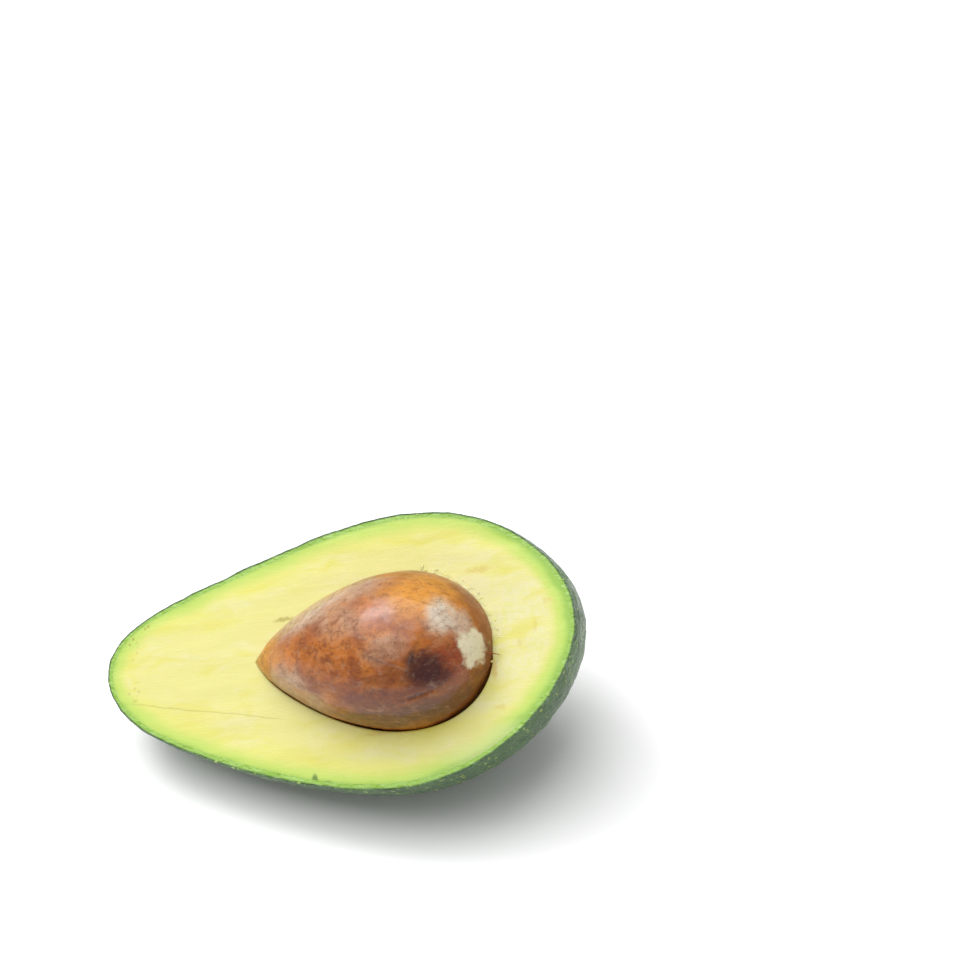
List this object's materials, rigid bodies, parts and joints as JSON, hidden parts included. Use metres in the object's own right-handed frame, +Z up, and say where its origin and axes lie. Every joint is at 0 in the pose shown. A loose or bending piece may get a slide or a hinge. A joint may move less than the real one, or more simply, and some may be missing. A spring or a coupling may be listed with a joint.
{
  "type": "avocado half",
  "caption": "Green-skinned avocado cut lengthwise: a pear-shaped half with pebbled peel, yellow flesh and the smooth brown seed still seated in it, lying on its round back.",
  "frame": {"origin": "middle of the small flat spot that the half rests on", "axes": "+Z up, +X along the fruit towards its blossom end, +Y towards the raised edge of the cut face"},
  "size_m": [0.1187, 0.063, 0.0547],
  "materials": {
    "peel": "dark green pebbled fruit skin with yellow-green specks, satin",
    "flesh": "moist cut flesh, pale yellow by the seed and bright green at the rim",
    "seed_coat": "brown papery seed coat, satin, mottled orange, maroon and grey-pink",
    "stalk": "dry corky stalk end, matt"
  },
  "bodies": {
    "root": {"peel": "peel", "flesh": "flesh", "seed": "seed_coat", "stalk_button": "stalk"}
  },
  "joints": []
}
